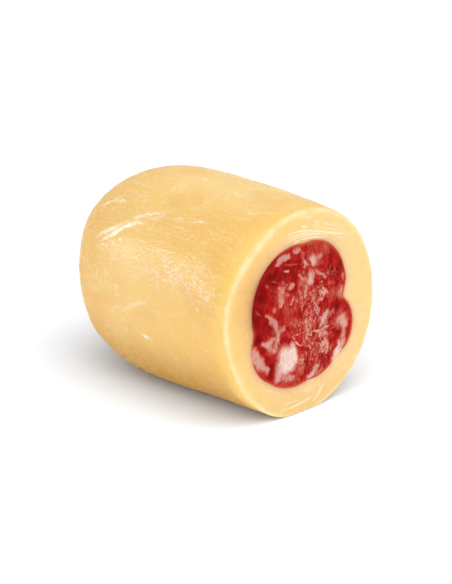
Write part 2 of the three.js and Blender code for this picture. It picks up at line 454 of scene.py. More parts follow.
# Marks of the knife on the cut face: a path across and up from the salami's middle, ridge height, and width
DRAG_LINES = (
    (((-9.3, 38.8), (-7.4, 39.4), (-2.8, 39.7), (0.4, 39.3),
      (5.1, 38.5), (10.4, 37.2), (14.4, 36.2), (19, 34.8)), 0.16, 0.42),
    (((16.5, 35.4), (21.2, 34), (24.6, 33.3), (28, 32.7)), 0.2, 0.5),
    (((26, 33), (31, 32), (36, 31.2)), 0.06, 0.35),
    (((-9.4, 37.4), (-6.8, 37.6), (-4.2, 38.1), (-1.5, 38.1), (1.7, 38), (5, 37.7)), 0.15, 0.38),
    (((-9.4, 35.9), (-6.8, 36.4), (-4.2, 36.8), (-1.6, 37), (2.4, 36.7)), 0.11, 0.34),
    (((0.4, 36.9), (3.1, 37), (6.4, 36.7), (9.7, 36.2), (13, 35.3), (17.1, 34.1)), 0.14, 0.42),
    (((-1.6, 35.6), (1.1, 35.5), (3.7, 35.3), (6.4, 35.2), (11, 34.3), (16.4, 33)), 0.14, 0.42),
    (((-5.5, 34.8), (-3.5, 35.1), (-1.6, 35.4)), 0.13, 0.38),
    (((6.4, 40.9), (11.7, 39.8)), 0.05, 0.35),
    (((6.4, 40), (11.7, 38.8), (17.1, 37.2), (25.3, 35.1)), 0.07, 0.38),
    (((13.1, 40.7), (16.4, 39.6), (19.8, 38.4), (26, 36.6)), 0.08, 0.42),
    (((8.1, 41.9), (12.1, 41.1)), 0.12, 0.5),
    (((-0.5, 41.6), (3.1, 40.8)), 0.13, 0.6),
    (((1.2, 45.6), (6.1, 44.7)), 0.11, 0.45),
    (((1.2, 46.6), (4.5, 45.9)), 0.05, 0.4),
    (((22.5, 31.7), (28, 30.7)), 0.06, 0.45),
    (((-15.2, -41.6), (-12.6, -41.9), (-9.2, -42.2), (-5.9, -42.1), (-2.5, -42.5)), 0.09, 0.4),
    (((-16.6, -44.3), (-10.6, -44.6), (-5.2, -44.5), (-2.5, -44.3),
      (0.2, -43.8), (2.9, -43.4), (5.6, -42.6)), 0.13, 0.5),
    (((-1.1, -39), (1.6, -38.9), (3.6, -38.7), (6.4, -38.7)), 0.09, 0.36),
    (((0.2, -38.3), (3, -38), (5.7, -37.7)), 0.06, 0.3),
    (((0.9, -39.9), (3.6, -39.7), (6.4, -39.6)), 0.06, 0.3),
    (((7.8, -37.3), (9.8, -38.7), (11.5, -39.9)), 0.07, 0.4),
    (((13.3, -38.6), (11.2, -41.2), (8.7, -43.8), (7, -45)), 0.12, 0.75),
    (((-24.8, -31.8), (-21.6, -32.9)), 0.06, 0.5),
    (((26, -35), (30, -34.1)), 0.07, 0.8),
    (((33.5, -31.4), (38, -30.5)), 0.07, 0.8),
)
# Height at which a knife mark is fully pale, and the width of the finer mesh beside it
DRAG_FULL = 0.14
DRAG_MARGIN = 1.2

# Stain of the filling in the cut face, partly painted shade: reach of its thin edge, and of its wide tint
# on each side
EDGE_STAIN_AND_SHADE_REACH = 1.2
EDGE_STAIN_AND_SHADE_LEAST = 0.75
HALO_REACH = 5.0
HALO_MOST = 0.7
STAIN_AND_SHADE_REACH_LEFT = 7.5
STAIN_AND_SHADE_REACH_RIGHT = 2.2
STAIN_AND_SHADE_LEAST = 0.4
STAIN_AND_SHADE_FADE_POWER = 1.3
STAIN_AND_SHADE_LEFT_TURN = 160.0
STAIN_AND_SHADE_LEFT_POWER = 8
# Where fat meets the cheese and leaves little stain: turn and spread
FAT_AT_EDGE = ((311.0, 10.0), (278.0, 5.0))
FAT_CLEARS = 0.85
# Edge of the cut at the salami: how far it sinks and over what width, and the ripple of the whole cut
MOUTH_SINK = 0.04
MOUTH_SOFTNESS = 0.5
FACE_RIPPLE = ((0.06, 6, 5.7),)

# Rim of the cut: half widths of its painted highlight and of its yellow band, over the skin and into the
# cut
RIM_HIGHLIGHT_SKIN = 1.3
RIM_HIGHLIGHT_FACE = 1.9
RIM_BAND_SKIN = 7.0
RIM_BAND_FACE = 4.0
BAND_LOST_ON_TOP = 0.7

# Where the tints of the cheese begin and are full: lengths from the cut, heights, and places across
FAR_ALONG = (5, 95)
TIP_ALONG = (60, 125)
# Painted light: the skin is painted paler on top, over these heights, where the rim's band also fades
TOP_HEIGHT = (93, 101)
STREAKY_HEIGHT = (46, 87)
# Painted shade: the cut face is painted darker towards the floor, below these heights, up to this share
LOW_SHADE_HEIGHT = (24, 4)
LOW_SHADE_MOST = 0.8
# Painted shade: the skin is painted darker and browner on its underside, below these heights and from these
# lengths
UNDER_SHADE_HEIGHT = (43, 10)
UNDER_SHADE_ALONG = (4, 14)
RIGHT_ACROSS = (-15, 25)
# Pebbled zone of the flank: turn, spread, and the lengths from the cut over which it starts and ends
PEBBLED_TURN = 159.0
PEBBLED_SPREAD = 12.0
PEBBLED_START = (0.0, 15.0)
PEBBLED_END = (58.0, 85.0)


def back_marks():
    """Marks of the hidden side, like those that show."""
    draw = random.Random(BACK_SEED)
    made = []
    for _ in range(BACK_MARKS):
        along, turn, run, bend = (draw.uniform(*span) for span in (*BACK_PLACE, BACK_RUN, BACK_BEND))
        path = ((along, turn), (along + run / 2, turn + bend), (along + run, turn + bend * BACK_END_BEND))
        made.append((path, *(draw.uniform(*span) for span in (BACK_RIDGE, BACK_WIDTH, BACK_WHITE))))
    return tuple(made)


def beside_strands(marks):
    """Thinner strands beside the whiter marks, where the drawn skin has torn."""
    draw = random.Random(STRAND_SEED)
    made = []
    for path, ridge, width, white in marks:
        for _ in range(STRANDS_EACH if white > STRAND_LEAST else 0):
            first = draw.randint(0, len(path) - 2)
            stray_along = draw.uniform(-STRAND_STRAY_ALONG, STRAND_STRAY_ALONG)
            stray_turn = draw.uniform(-STRAND_STRAY_TURN, STRAND_STRAY_TURN)
            stretch = path[first:first + STRAND_POINTS]
            strayed = tuple((along + stray_along, turn + stray_turn) for along, turn in stretch)
            whiteness = draw.uniform(*STRAND_WHITE_SHARE) * white
            made.append((strayed, STRAND_RIDGE_SHARE * ridge, STRAND_WIDTH_SHARE * width, whiteness))
    return tuple(made)


def skin_path(path):
    along, turn = np.array(path, float).T
    return cheese_point(along, np.radians(turn), log_radius(along))


def face_path(path):
    across, up = np.array(path, float).T
    height = SALAMI_HEIGHT + up
    return np.stack([leaning_x(np.zeros_like(height), height), across, height], -1)


def place_cheese(station, turn):
    stretch, share = stretch_and_share(station, DOME)
    outline = salami_radius(turn)
    zero = np.zeros_like(turn)
    end_along, end_reach = rounded_end(1 - share, *SALAMI_END)
    mouth = salami_point(zero, turn, outline)
    rim_start = cheese_point(zero, turn, np.full_like(turn, CUT_RADIUS - RIM_ROUND))
    rim_along = RIM_ROUND * (1 - np.cos(share * math.pi / 2))
    rim_reach = log_radius(rim_along) - RIM_ROUND * (1 - np.sin(share * math.pi / 2))
    side_along = RIM_ROUND + share * (BELLY_FROM_CUT - RIM_ROUND)
    dome_along, dome_reach = rounded_end(share, *DOME_END)
    return placed_by_stretch(stretch, {
        CAVITY_END: salami_point(end_along, turn, end_reach * outline),
        CAVITY: salami_point(SALAMI_STRAIGHT * (1 - share), turn, outline),
        FACE: mouth + share[:, None] * (rim_start - mouth),
        RIM: cheese_point(rim_along, turn, rim_reach),
        SIDE: cheese_point(side_along, turn, log_radius(side_along)),
        DOME: cheese_point(dome_along, turn, BELLY_RADIUS * dome_reach),
    })


def speck_distance(points, along, turn):
    return np.linalg.norm(points - skin_path(((along, turn),))[0], axis=1)


def near_marks(points, marks, margin):
    """Which points lie close enough to a mark to need a finer mesh."""
    near = np.full(len(points), False)
    for path, *_ in marks:
        near |= path_distance(points, skin_path(path), margin)[0] < margin
    for along, turn, radius in SKIN_SPECKS:
        near |= speck_distance(points, along, turn) < margin / 2 + radius
    face_margin = margin * DRAG_MARGIN / MARK_MARGIN
    for path, *_ in DRAG_LINES:
        near |= path_distance(points, face_path(path), face_margin)[0] < face_margin
    return near


def mark_relief(points, marks):
    """Height and dryness that the marks give each point of the skin."""
    height = np.zeros(len(points))
    dry = np.zeros(len(points))
    wavering = points + MARK_WAVER * sway(points, MARK_WAVER_SIZE, MARK_WAVER_SEEDS)
    wider = uneven(points, *MARK_WIDTH_UNEVEN)
    for path, ridge, width, white in marks:
        gap, place = path_distance(wavering, skin_path(path), MARK_REACH * width)
        gap /= width * wider
        taper = tapered(place) * (gap < MARK_REACH)
        height += ridge * taper * (bell(gap) - MARK_GROOVE * bell(gap - MARK_GROOVE_AT))
        dry = np.maximum(dry, white * taper * (bell(gap) + MARK_HALO * bell(gap / MARK_HALO_WIDTH)))
    for along, turn, radius in SKIN_SPECKS:
        gap = speck_distance(points, along, turn) / radius
        height += SPECK_HEIGHT * bell(gap)
        dry = np.maximum(dry, bell(gap ** 2))
    return height, np.clip(dry * uneven(points, *DRY_UNEVEN), 0, 1)


def smear_and_sheen_strength(points):
    """Paleness of smears, one of them a painted highlight, and of the faint flecks that the whole skin has
    in places.
    """
    smear_and_sheen = SMEAR_LEAST * smoothstep(*SMEAR_PATCHES, noise_at(points, SMEAR_PATCH_SIZE, SMEAR_PATCH_SEED))
    for path, width, white in SKIN_SMEARS_AND_SHEEN:
        gap, place = path_distance(points, skin_path(path), SMEAR_REACH * width)
        near = gap < SMEAR_REACH * width
        smear_and_sheen = np.maximum(smear_and_sheen, white * tapered(place) * bell(gap / width) * near)
    return smear_and_sheen


def drag_relief(points):
    height = np.zeros(len(points))
    for path, ridge, width in DRAG_LINES:
        gap, place = path_distance(points, face_path(path), MARK_REACH * width)
        height += ridge * tapered(place) * bell(gap / width)
    return height


def turn_spots(turn, rows):
    """Strength of spots round the outline, each with the turn of its middle and its spread."""
    strength = np.zeros_like(turn)
    for middle, spread in rows:
        off = np.angle(np.exp(1j * (turn - math.radians(middle))))
        strength = np.maximum(strength, bell((np.degrees(off) / spread) ** 2))
    return strength


def outside_salami(points, turn):
    reach = np.hypot(points[:, 1], points[:, 2] - SALAMI_HEIGHT)
    return np.clip(reach - salami_radius(turn), 0, None)


def filling_stains_and_shade(outside, turn):
    """Tints of the cut face at a distance outside the salami's edge: tan on its left, partly stain and
    partly painted shade, and pink on its right.
    """
    leftness = (0.5 + 0.5 * np.cos(turn - math.radians(STAIN_AND_SHADE_LEFT_TURN))) ** STAIN_AND_SHADE_LEFT_POWER
    reach = STAIN_AND_SHADE_REACH_RIGHT + (STAIN_AND_SHADE_REACH_LEFT - STAIN_AND_SHADE_REACH_RIGHT) * leftness
    edge = EDGE_STAIN_AND_SHADE_LEAST + (1 - EDGE_STAIN_AND_SHADE_LEAST) * leftness
    edge *= 1 - FAT_CLEARS * turn_spots(turn, FAT_AT_EDGE)
    tint = STAIN_AND_SHADE_LEAST + (1 - STAIN_AND_SHADE_LEAST) * leftness
    return {
        "stain_and_shade": tint * np.exp(-(outside / reach) ** STAIN_AND_SHADE_FADE_POWER),
        "halo": HALO_MOST * (1 - leftness) * bell(outside / HALO_REACH),
        "edge_stain_and_shade": edge * np.exp(-outside / EDGE_STAIN_AND_SHADE_REACH),
    }


def rim_tints(points, station, turn):
    """Painted highlight along the rim, uneven in strength, and its yellow band, which is faint on top."""
    from_rim = rim_distance(points, turn)
    line = np.clip(uneven(points, *RIM_HIGHLIGHT_UNEVEN), 0, 1) * rim_fade(from_rim, RIM_HIGHLIGHT_SKIN, RIM_HIGHLIGHT_FACE)
    band = 1 - BAND_LOST_ON_TOP * smoothstep(*TOP_HEIGHT, points[:, 2])
    band *= rim_fade(from_rim, RIM_BAND_SKIN, RIM_BAND_FACE)
    return {"rim": (station >= FACE) * line, "band": (station >= FACE) * band}


def cheese_places(points, turn, on_skin):
    """Shares of the tints that follow from a place on the cheese."""
    along = np.clip(length_along(points), 0, None)
    across, height = points[:, 1:].T
    pebbled = bell((np.degrees(turn) - PEBBLED_TURN) / PEBBLED_SPREAD)
    return {
        "far": smoothstep(*FAR_ALONG, along),
        "tip": smoothstep(*TIP_ALONG, along),
        # Painted light: paler top of the skin
        "top": smoothstep(*TOP_HEIGHT, height),
        "streaky": smoothstep(*STREAKY_HEIGHT, height),
        # Painted shade of the cut face near the floor
        "low": LOW_SHADE_MOST * smoothstep(*LOW_SHADE_HEIGHT, height),
        "right": smoothstep(*RIGHT_ACROSS, across),
        "pebbled": pebbled * smoothstep(*PEBBLED_START, along) * (1 - smoothstep(*PEBBLED_END, along)),
        # Painted shade on the underside of the skin
        "under": on_skin * smoothstep(*UNDER_SHADE_HEIGHT, height) * smoothstep(*UNDER_SHADE_ALONG, along),
    }


def skin_lumps(points):
    return noise_layers(points, SKIN_LUMPS) * (1 + smoothstep(*LUMPS_GROW, length_along(points)))


def cheese_sheet(marks):
    """Sheet of the cheese, finer near its marks."""
    bm = station_sheet(CHEESE_RINGS, CHEESE_SIDES)
    for margin in (MARK_MARGIN, MARK_MARGIN / 2):
        refine(bm, near_marks(place_cheese(*station_and_turn(bm, CHEESE_RINGS)), marks, margin))
    return bm


def cheese_log(material):
    marks = SKIN_MARKS + back_marks()
    marks += beside_strands(marks)
    bm = cheese_sheet(marks)
    station, turn = station_and_turn(bm, CHEESE_RINGS)
    points = place_cheese(station, turn)
    move_verts(bm, points)
    normals = outward_normals(bm, points, np.array([-LOG_LENGTH / 2, 0, BELLY_RADIUS]))
    on_skin = smoothstep(*SKIN_STARTS, station) * (1 - smoothstep(*SKIN_ENDS, station))
    on_face = smoothstep(*FACE_STARTS, station) * (1 - smoothstep(*FACE_ENDS, station))

    crease, dry = mark_relief(points, marks)
    drag = drag_relief(points)
    outside = outside_salami(points, turn)
    skin = smoothstep(*LEAVES_FLOOR, points[:, 2]) * (skin_lumps(points) + crease)
    face = drag + noise_layers(points, FACE_RIPPLE) - MOUTH_SINK * np.exp(-outside / MOUTH_SOFTNESS)
    relief = on_skin * skin + on_face * face
    move_verts(bm, points + relief[:, None] * normals)

    attributes = {
        "cut": on_face,
        "dry": on_skin * dry,
        "smear_and_sheen": on_skin * smear_and_sheen_strength(points),
        "drag": on_face * np.clip(drag / DRAG_FULL, 0, 1),
    }
    for name, strength in filling_stains_and_shade(outside, turn).items():
        attributes[name] = on_face * strength
    attributes |= rim_tints(points, station, turn) | cheese_places(points, turn, on_skin)
    finished_piece("cheese_log", "cheese", bm, attributes, material)


# Pieces of fat in the salami's face: from one place to another, across and up, with the radius at each end,
# how pale it is, its tone from tan at -1 over pink at 0 to mauve at 1, and how soft its edge is
FAT = (
    # Big chunk at the lower left, with its tail and fringe
    ((-9.4, -19), (-9.3, -20.8), 5.1, 6.2, 0.97, 0, 1.5),
    ((-7.8, -14.6), (-8.8, -17), 2.2, 3.8, 0.88, 0, 1.4),
    ((-10.6, -15.6), (-10.2, -18), 2.6, 4.2, 0.88, 0, 1.4),
    ((-12.4, -17.8), (-13.4, -24.2), 4.8, 4.6, 0.95, 0, 2.2),
    ((-15.4, -24.6), (-16.8, -27.4), 3.2, 2.6, 0.8, 0.5, 1.4),
    ((-14, -29.4), (-7.5, -29.8), 1.6, 1.2, 0.68, 0.5, 1.4),
    ((-2.6, -22.6), (-1.6, -23.6), 1.4, 1.0, 0.55, -0.7, 1.2),
    # Chunk that fills the lobe at the left edge, and the ragged one beside it
    ((-32.4, -10.6), (-31.6, -14), 2.0, 3.1, 0.75, 0, 1.0),
    ((-31.6, -14), (-29.2, -17.6), 3.1, 3.0, 0.77, 0.1, 1.0),
    ((-29.2, -17.6), (-24.2, -22.4), 2.8, 1.5, 0.72, 0.4, 1.1),
    ((-26.4, -9), (-23.2, -10.2), 0.9, 2.2, 0.8, 0.4, 1.0),
    ((-23.2, -10.2), (-20.4, -8.4), 2.0, 1.5, 0.74, 0, 1.1),
    ((-22.6, -11.6), (-18.8, -13.6), 1.7, 1.3, 0.68, 0.2, 1.2),
    # Forked vein on the left
    ((-24, 4.2), (-21.4, 2), 0.5, 1.0, 0.62, 0.5, 1.0),
    ((-21.4, 2), (-18.4, -1), 1.0, 1.4, 0.66, 0.6, 1.1),
    ((-18.4, -1), (-17, -6), 1.4, 1.5, 0.68, 0.6, 1.1),
    ((-17, -6), (-16.8, -9.4), 1.5, 1.4, 0.72, 0.4, 1.2),
    ((-16.8, -9.4), (-18, -12.4), 1.2, 1.0, 0.62, 0.3, 1.2),
    ((-16, -4.9), (-12.8, -4.3), 1.1, 0.9, 0.58, 0.6, 1.1),
    # Pieces along the top
    ((-17.6, 26.6), (-13.6, 28.6), 0.5, 1.5, 0.68, 0.7, 0.9),
    ((-13.6, 28.6), (-9.4, 29.1), 1.5, 1.2, 0.72, 0.8, 0.9),
    ((-5, 31.1), (-2.2, 30.8), 1.0, 0.9, 0.68, 0.6, 0.9),
    ((-1.6, 30.2), (0.8, 28.2), 0.4, 0.4, 0.45, 0.3, 0.8),
    ((6.8, 24.6), (7.4, 22.8), 1.8, 2.0, 0.9, 0.6, 1.1),
    ((9.2, 24.4), (12.6, 25), 1.3, 0.9, 0.62, 0.5, 1.2),
    ((6.4, 26.2), (6.6, 25), 0.6, 1.0, 0.6, 0.4, 1.0),
    ((15, 28.8), (16, 28), 1.6, 1.3, 0.5, -0.4, 1.5),
    ((5.2, 32.4), (6.8, 31.8), 0.6, 0.5, 0.45, 0, 1.0),
    ((1.4, 24.2), (1.7, 23.4), 0.8, 0.9, 0.76, 0.5, 1.0),
    ((0.7, 27), (0.9, 24.6), 0.6, 0.7, 0.5, 0.2, 1.1),
    # Pieces across the middle
    ((5.4, 17.6), (5.2, 14.6), 1.6, 2.5, 0.86, 0.5, 1.1),
    ((5.2, 14.6), (3.4, 13.8), 2.2, 1.2, 0.84, 0.3, 1.1),
    ((-2.6, 18.6), (-0.4, 17), 0.4, 0.6, 0.7, -0.2, 0.8),
    ((-0.4, 17), (3.4, 14.2), 0.6, 0.9, 0.66, 0.2, 1.0),
    ((8.8, 19), (11.4, 16.8), 0.8, 0.7, 0.68, 0.4, 0.8),
    ((11.4, 16.8), (14.8, 13.8), 0.7, 0.8, 0.72, 0.4, 0.8),
    ((-8.8, 13.9), (-6.6, 15.1), 1.0, 1.0, 0.76, 0.3, 0.8),
    ((-15, 15), (-14.5, 11.6), 1.0, 1.7, 0.64, -1.0, 1.4),
    ((-14.5, 11.4), (-14, 9.4), 1.7, 2.2, 0.7, -0.5, 1.2),
    ((-14, 9.4), (-14.9, 6.8), 2.0, 1.0, 0.74, 0.1, 1.0),
    ((1.8, 11), (1.8, 8.6), 1.3, 1.4, 0.7, 0.4, 1.1),
    ((-2.2, 11), (-0.9, 7), 0.5, 0.7, 0.58, 0.1, 0.9),
    ((-0.4, 5.4), (-0.6, 1.6), 0.5, 0.5, 0.6, 0.4, 0.8),
    ((-7.4, 6.2), (-6, 8), 0.7, 0.7, 0.6, -0.3, 0.9),
    ((-18.9, 5.8), (-18.1, 5.6), 0.8, 0.8, 0.56, 0.4, 0.9),
    ((-10, 11.6), (-9.5, 10), 0.5, 0.5, 0.5, 0, 0.8),
    ((-5, 4.2), (-4.6, 3.2), 0.5, 0.5, 0.5, 0, 0.8),
    ((5.6, 8.6), (6.2, 5.8), 1.3, 1.8, 0.54, -0.7, 1.5),
    ((8.8, 1.4), (8.8, -0.6), 2.0, 1.7, 0.62, 0.9, 1.3),
    ((10.6, 3.9), (13.2, 3.6), 0.7, 0.8, 0.78, -0.2, 0.8),
    ((14.2, 6.9), (15, 6), 1.3, 1.1, 0.58, 0.4, 1.1),
    ((11.2, 8.4), (12.6, 7), 0.6, 0.6, 0.66, -0.2, 0.8),
    ((20, 6.2), (20.6, 4.2), 1.3, 1.2, 0.48, 0, 1.4),
    ((-2, -2.4), (-3.4, -5), 0.5, 0.5, 0.52, 0.1, 0.8),
    ((4.2, 2.6), (2.4, -3.6), 0.7, 0.7, 0.52, 0.1, 1.0),
    # Right side
    ((15.6, -3.4), (13.8, -6.4), 1.1, 2.3, 0.86, 0.4, 1.1),
    ((13.8, -6.4), (12, -8.8), 2.3, 1.6, 0.82, -0.1, 1.2),
    ((16.6, -4.6), (21, -4), 1.0, 0.9, 0.52, 0.6, 1.1),
    ((24.2, -8.8), (26.8, -8.6), 1.9, 2.1, 0.78, 0, 1.2),
    ((26.8, -8.6), (27.6, -12.4), 2.3, 2.4, 0.8, -0.1, 1.1),
    ((27.6, -12.4), (27.6, -17.6), 2.3, 1.3, 0.72, 0, 1.2),
    ((21.6, -9), (24, -11), 1.2, 1.5, 0.52, 0, 1.4),
    ((25.9, 5.6), (25.2, 4.6), 1.3, 1.2, 0.72, -0.4, 1.0),
    ((24, 3.8), (28, 1.6), 0.8, 0.7, 0.6, -0.7, 1.0),
    ((27.4, 13), (27.6, 11.6), 0.8, 0.7, 0.6, -0.5, 0.9),
    # Lower right, out to the edge
    ((12, -18.4), (16, -18.2), 0.8, 1.3, 0.78, 0, 1.0),
    ((16.2, -18.8), (16, -21), 1.6, 1.6, 0.82, 0, 1.1),
    ((16, -21), (14.8, -23.6), 1.4, 1.0, 0.76, 0, 1.1),
    ((13.4, -20.6), (12.8, -22.2), 1.6, 1.5, 0.58, -0.9, 1.3),
    ((11.4, -13.2), (15.4, -13.6), 1.3, 1.2, 0.72, -0.1, 1.2),
    ((24.6, -20.6), (22.8, -24.6), 1.4, 2.3, 0.92, 0, 1.0),
    ((22.8, -24.6), (20.4, -28.6), 2.3, 1.6, 0.96, -0.1, 1.0),
    ((25.2, -24.2), (21.6, -28.8), 1.6, 1.8, 1.0, -0.3, 1.2),
    ((27.4, -20), (25.8, -23.2), 1.2, 1.8, 0.86, -0.4, 1.0),
    ((3.6, -33), (6, -31.2), 1.6, 2.1, 0.87, 0.4, 1.0),
    ((6.4, -31), (9.2, -28), 1.9, 0.6, 0.78, 0.4, 1.0),
    ((8.6, -32.8), (11.6, -31.2), 1.0, 1.1, 0.56, -0.9, 1.2),
)
# Pale fibres, less ragged, and one painted glint
FIBRES_AND_GLINT = (
    ((6, -10.8), (8.6, -11.3), 0.3, 0.4, 0.7, -0.2, 0.45),
    ((8.6, -11.3), (16.4, -10.9), 0.4, 0.3, 0.84, -0.3, 0.45),
    ((-5.2, -9.9), (-0.6, -10), 0.2, 0.2, 0.58, -0.2, 0.5),
    ((-6.8, -9.8), (-5.8, -11.4), 0.35, 0.35, 0.72, -0.2, 0.5),
    ((-5, -13.2), (-3.6, -14.2), 0.6, 0.4, 0.95, -0.1, 0.4),
    ((-3.6, -14.2), (-0.8, -15.4), 0.4, 0.2, 0.85, -0.1, 0.4),
    ((1.6, -8.8), (3.6, -9.8), 0.4, 0.35, 0.78, -0.2, 0.5),
    ((2.4, -10.9), (5, -12.2), 0.4, 0.35, 0.76, -0.2, 0.5),
    ((-10.8, 25.4), (-3, 24.3), 0.2, 0.2, 0.42, 0, 0.5),
    # Painted glint: a short white streak of wet shine
    ((-12.2, 23), (-9.8, 22.3), 0.2, 0.3, 0.8, 0.1, 0.4),
    ((-20, 19.6), (-14.6, 17.8), 0.2, 0.2, 0.4, 0, 0.5),
    ((-13.6, 18.4), (-10, 15.8), 0.3, 0.3, 0.5, -0.4, 0.5),
    ((-30, 8), (-28, 5.4), 0.3, 0.3, 0.4, -0.2, 0.6),
    ((-23.9, 18.9), (-22.2, 17.4), 0.5, 0.5, 0.46, 0.2, 0.6),
    ((8.6, -28.8), (9.6, -27.8), 0.4, 0.3, 0.75, 0, 0.5),
    ((22.6, -6), (27, -4.6), 0.3, 0.25, 0.42, 0, 0.5),
)
# Pale haze in the meat: place across and up, spread, how pale it is and its tone
HAZE = (
    ((-14, 12), 5, 0.52, -0.6), ((2, 13.5), 5, 0.52, 0), ((7, 5.5), 5, 0.47, -0.5),
    ((11, 6), 4.5, 0.47, -0.2), ((3, -6), 5.5, 0.52, -0.6), ((7.5, -7), 4.5, 0.49, 0.2),
    ((-6, -4.5), 5, 0.44, 0.2), ((13, -13), 5, 0.56, -0.2), ((12, -20), 6, 0.56, -0.4),
    ((4, -17), 5.5, 0.45, 0), ((4, -21), 4, 0.42, 0), ((-2, -23), 3.5, 0.52, -0.3),
    ((25, 5), 3.5, 0.55, -0.5), ((19, 6), 5, 0.42, -0.1), ((9, 24), 4.5, 0.48, 0.2),
    ((3, 25), 3.5, 0.44, 0), ((15.5, 28.5), 4, 0.48, -0.3), ((-20, -11), 4.5, 0.5, 0),
    ((-17, -5), 4, 0.5, 0.3), ((24, -9.5), 5, 0.57, 0), ((9, -25.5), 4, 0.47, 0),
    ((-11, -29), 5, 0.5, 0.3), ((-3, 8), 5, 0.38, 0), ((-10, 3), 5, 0.38, 0), ((16, -1), 4, 0.36, 0.2),
    ((14, 16), 4.5, 0.4, 0.1), ((21, 13), 4, 0.36, 0), ((8, 30), 6, 0.38, -0.1),
    ((1.8, -13.6), 3, 0.6, -0.1), ((-5, -32), 3.5, 0.42, -0.2), ((-2.3, -27.5), 3, 0.48, 0),
)
# Paleness of lean meat, core and edge of a piece of fat, paleness that counts as fat, and how tones mix
MEAT_PALENESS = 0.22
FAT_CORE = 1.1
FAT_CORE_MOST = 0.9
FAT_SOFTER = 1.35
FAT_FROM = (0.45, 0.8)
TONE_POWER = 3
# Sway of fat and fibres: size and seeds of the bends and of the ragged bits, and how far each shifts them
BENDS = (4, (11.0, 23.0))
RAGGED_BITS = (1.4, (31.0, 47.0))
FAT_SWAY = (1.2, 0.7)
FIBRE_SWAY = (0.8, 0.3)
# Paler and darker clumps: strength, size and seed
CLUMPS = ((0.12, 2.8, 83.0), (0.12, 1.3, 97.0))
# Relief of the cut meat: height, size and seed of its grain, and rise of the fat
MEAT_GRAIN = ((0.10, 1.6, 61.0), (0.12, 5, 71.0))
FAT_RISE = 0.08

# Small holes in the meat, and clusters of them: place across and up, spread and how many
PITS = (
    (-16, -4), (13.4, -15.6), (8.2, -3), (7.6, -2.4), (3.4, -12.4), (9.5, 4.8), (-1.5, -25.5), (23, -3),
    (-9.4, 3.4),
)
PIT_CLUSTERS = (
    ((16.5, 16.5), 3.2, 18), ((12, 8), 2.6, 6), ((9, -3), 2.2, 5), ((10, -17), 4.5, 12), ((4, -9.5), 3, 5),
)
PIT_SEED = 5
PIT_RADIUS = 0.36
PIT_DEPTH = 0.25
PIT_SWAY = 0.6
# Painted glints: white specks of wet shine on the meat, and clusters of them
GLINT_SPECKS = (
    (-8.7, 28.3), (-8.7, -31.2), (-9.3, -30.5), (12.2, 7.4), (7.4, -2.2), (2.8, -9.2), (11.6, -18.4),
    (-0.6, 17.2),
)
GLINT_CLUSTERS = (
    ((15, 15), 3, 5), ((12, 6), 2.6, 8), ((9, -3), 2.2, 5), ((4, -9.5), 3, 8), ((11, -18), 4, 10),
)
GLINT_SEED = 8
GLINT_RADIUS = 0.26
GLINT_RISE = 0.15
GLINT_SWAY = 1.2

# Patches of meat: place across and up, spread and strength
MOTTLED = (
    ((5, -5), 9, 0.9), ((10, -19), 9, 1.0), ((-1, -22), 4, 0.8), ((14, 9), 6, 0.8), ((3, 5), 8, 0.7),
    ((-11, -5), 5, 0.4), ((17, -9), 5, 0.8), ((-12, 12), 5, 0.5), ((-20, -11), 4, 0.6),
    ((2, 23), 5, 0.6), ((17, 17), 5, 0.65), ((-6, 6), 5, 0.5), ((20, -22), 4, 0.5), ((6, -28), 6, 0.5),
    ((-12, -29), 5, 0.5),
)
DARK = (
    ((-28, 14), 6, 1.0), ((-20, 21), 6, 1.0), ((-12, 22.5), 5, 1.0), ((-30, 6), 5, 1.0),
    ((-5, 22), 4, 0.7), ((-26, -2), 5, 0.8), ((-29, -6), 3, 1.0), ((24, 16), 5, 0.7),
    ((23, -2), 2.4, 1.0), ((18.5, -9), 2, 0.4), ((23.5, -16.5), 3, 0.5), ((-21, -22), 4, 0.9),
    ((2, -27), 4, 0.9), ((13, -28), 4, 0.7), ((0, 20), 2, 0.8), ((20, 24), 3, 0.6),
)
# Paleness over which the mottling ends
MOTTLED_UNTIL = (0.52, 0.78)
# Casing round the meat: its width, how far fat hides it, and turn and spread of its bright stretches
# Between the bright stretches, on the upper left, the casing is painted darker: a painted shadow of the
# cheese's edge
CASING_WIDTH = 1.8
CASING_HIDDEN = 0.85
CASING_BRIGHT = ((-30.0, 65.0), (75.0, 40.0), (200.0, 20.0), (255.0, 40.0))
# Rim of the meat without relief, and its grain: bend, strength, and where it turns to follow the outline
EDGE_CALM = 1.5
GRAIN_BEND = 1.2
GRAIN_LEAST = 0.04
GRAIN_MOST = 0.26
GRAIN_TURNS = (4, 20)


def place_salami(station, turn):
    stretch, share = stretch_and_share(station, MEAT_END)
    outline = salami_radius(turn)
    angle = share * math.pi / 2
    end_along, end_reach = rounded_end(share, *SALAMI_END)
    edge_along = MEAT_EDGE_ROUND * (1 - np.cos(angle))
    edge_radius = outline - MEAT_EDGE_ROUND * (1 - np.sin(angle))
    side_along = MEAT_EDGE_ROUND + share * (SALAMI_STRAIGHT - MEAT_EDGE_ROUND)
    return placed_by_stretch(stretch, {
        MEAT_FACE: salami_point(np.zeros_like(turn), turn, share * (outline - MEAT_EDGE_ROUND)),
        MEAT_EDGE: salami_point(edge_along, turn, edge_radius),
        MEAT_SIDE: salami_point(side_along, turn, outline),
        MEAT_END: salami_point(end_along, turn, end_reach * outline),
    })


def stretch_cover(spots, start, end, first, last, softness):
    """How fully a stretch of fat with soft edges covers each spot."""
    widest = max(first, last) + softness
    gap, place = path_distance(spots, np.array([start, end], float), widest)
    radius = first + (last - first) * place
    core = np.minimum(FAT_CORE * softness, FAT_CORE_MOST * radius)
    return np.where(gap < widest, smoothstep(-softness, core, radius - gap), 0)


def spot_cover(spots, centre, spread):
    return bell(np.linalg.norm(spots - np.array(centre), axis=1) / spread)


